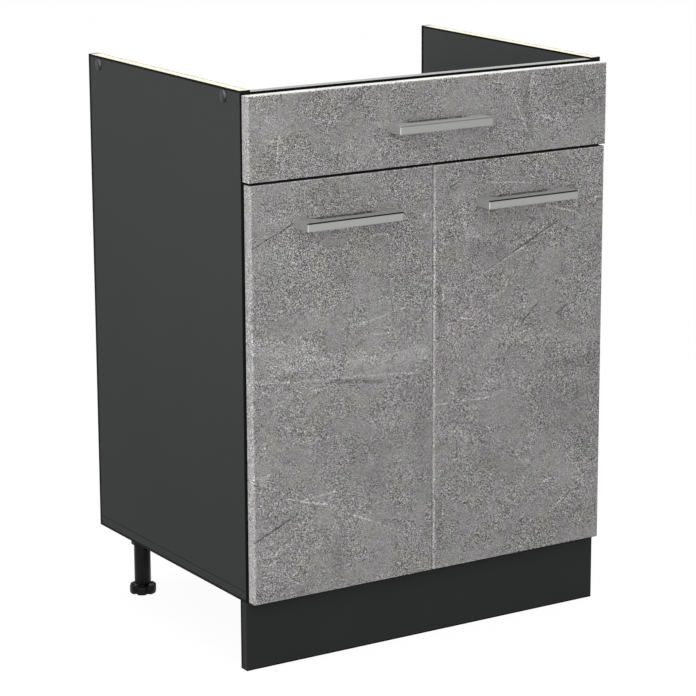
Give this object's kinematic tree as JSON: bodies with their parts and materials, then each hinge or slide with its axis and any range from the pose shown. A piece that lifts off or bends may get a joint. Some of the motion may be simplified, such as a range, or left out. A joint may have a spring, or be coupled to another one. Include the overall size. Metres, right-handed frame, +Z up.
{
  "type": "kitchen base cabinet",
  "caption": "Kitchen base cabinet for a sink: open-topped carcass on levelling feet, fixed top front, hinged doors with strap handles, and a clipped plinth.",
  "frame": {"origin": "on the floor, under the middle of the whole cabinet's box, with the feet at rest", "axes": "+X to the cabinet's right as seen from the front, +Y to the back, +Z up; the fronts look towards -Y"},
  "size_m": [0.6048, 0.491, 0.82],
  "materials": {
    "carcass_board": "anthracite melamine facing on chipboard, raw top edge",
    "front_board": "concrete grey melamine facing on chipboard",
    "edge_band": "anthracite edge band, matt",
    "plinth_board": "dark grey facing on chipboard, matt",
    "handle_metal": "satin nickel finish",
    "hinge_steel": "nickel-plated pressed steel",
    "screw_steel": "zinc-plated steel",
    "cam_metal": "zinc die casting",
    "dowel_wood": "beech dowel",
    "black_plastic": "black moulded plastic",
    "cap_plastic": "anthracite moulded cap",
    "bumper_gel": "soft clear bumper"
  },
  "bodies": {
    "carcass": {"left_side_panel": "carcass_board", "right_side_panel": "carcass_board", "bottom_panel": "carcass_board", "edge_bands": "edge_band", "front_rail": "carcass_board", "rear_rail": "carcass_board", "rail_dowels": "dowel_wood", "cam_locks": "cam_metal", "cam_bolts": "screw_steel", "carcass_screws": "screw_steel", "cover_caps": "cap_plastic", "false_front": "front_board", "false_front_handle": "handle_metal", "false_front_handle_screws": "screw_steel", "false_front_screws": "screw_steel", "false_front_spacers": "black_plastic", "foot_sockets": "black_plastic", "foot_socket_screws": "screw_steel", "foot_tubes": "black_plastic", "plinth_panel": "plinth_board", "plinth_clips": "black_plastic", "plinth_clip_screws": "screw_steel", "hinge_plates": "hinge_steel", "hinge_plate_screws": "screw_steel", "hinge_arms": "hinge_steel", "hinge_arm_screws": "screw_steel", "hinge_arm_pins": "screw_steel"},
    "left_outer_link": {"left_outer_links": "hinge_steel"},
    "left_door": {"left_door": "front_board", "left_handle": "handle_metal", "left_handle_screws": "screw_steel", "left_hinge_cups": "hinge_steel", "left_cup_screws": "screw_steel", "left_cup_pins": "screw_steel", "left_door_bumpers": "bumper_gel"},
    "left_inner_link": {"left_inner_links": "hinge_steel"},
    "right_outer_link": {"right_outer_links": "hinge_steel"},
    "right_door": {"right_door": "front_board", "right_handle": "handle_metal", "right_handle_screws": "screw_steel", "right_hinge_cups": "hinge_steel", "right_cup_screws": "screw_steel", "right_cup_pins": "screw_steel", "right_door_bumpers": "bumper_gel"},
    "right_inner_link": {"right_inner_links": "hinge_steel"},
    "front_left_foot": {"front_left_foot": "black_plastic"},
    "front_right_foot": {"front_right_foot": "black_plastic"},
    "rear_left_foot": {"rear_left_foot": "black_plastic"},
    "rear_right_foot": {"rear_right_foot": "black_plastic"}
  },
  "joints": [
    {"name": "left_outer_link_hinge", "type": "hinge", "parent": "carcass", "child": "left_outer_link", "pos_m": [-0.264, -0.1798, 0.3975], "axis": [0, 0, 1], "range_deg": [0, 19.5]},
    {"name": "left_door_hinge", "type": "hinge", "parent": "left_outer_link", "child": "left_door", "pos_m": [-0.2885, -0.1993, 0.3975], "axis": [0, 0, -1], "range_deg": [0, 114]},
    {"name": "left_inner_link_hinge", "type": "hinge", "parent": "left_door", "child": "left_inner_link", "pos_m": [-0.2885, -0.20545, 0.3975], "axis": [0, 0, 1], "range_deg": [0, 98.5]},
    {"name": "right_outer_link_hinge", "type": "hinge", "parent": "carcass", "child": "right_outer_link", "pos_m": [0.264, -0.1798, 0.3975], "axis": [0, 0, -1], "range_deg": [0, 19.5]},
    {"name": "right_door_hinge", "type": "hinge", "parent": "right_outer_link", "child": "right_door", "pos_m": [0.2885, -0.1993, 0.3975], "axis": [0, 0, 1], "range_deg": [0, 114]},
    {"name": "right_inner_link_hinge", "type": "hinge", "parent": "right_door", "child": "right_inner_link", "pos_m": [0.2885, -0.20545, 0.3975], "axis": [0, 0, -1], "range_deg": [0, 98.5]},
    {"name": "front_left_foot_height", "type": "slide", "parent": "carcass", "child": "front_left_foot", "axis": [0, 0, -1], "range_m": [-0.0015, 0.018]},
    {"name": "front_right_foot_height", "type": "slide", "parent": "carcass", "child": "front_right_foot", "axis": [0, 0, -1], "range_m": [-0.0015, 0.018]},
    {"name": "rear_left_foot_height", "type": "slide", "parent": "carcass", "child": "rear_left_foot", "axis": [0, 0, -1], "range_m": [-0.0015, 0.018]},
    {"name": "rear_right_foot_height", "type": "slide", "parent": "carcass", "child": "rear_right_foot", "axis": [0, 0, -1], "range_m": [-0.0015, 0.018]}
  ],
  "couplings": [
    {"joint": "left_outer_link_hinge", "follows": "left_door_hinge", "ratio": 0.16667},
    {"joint": "left_inner_link_hinge", "follows": "left_door_hinge", "ratio": 0.85833},
    {"joint": "right_outer_link_hinge", "follows": "right_door_hinge", "ratio": 0.16667},
    {"joint": "right_inner_link_hinge", "follows": "right_door_hinge", "ratio": 0.85833}
  ]
}
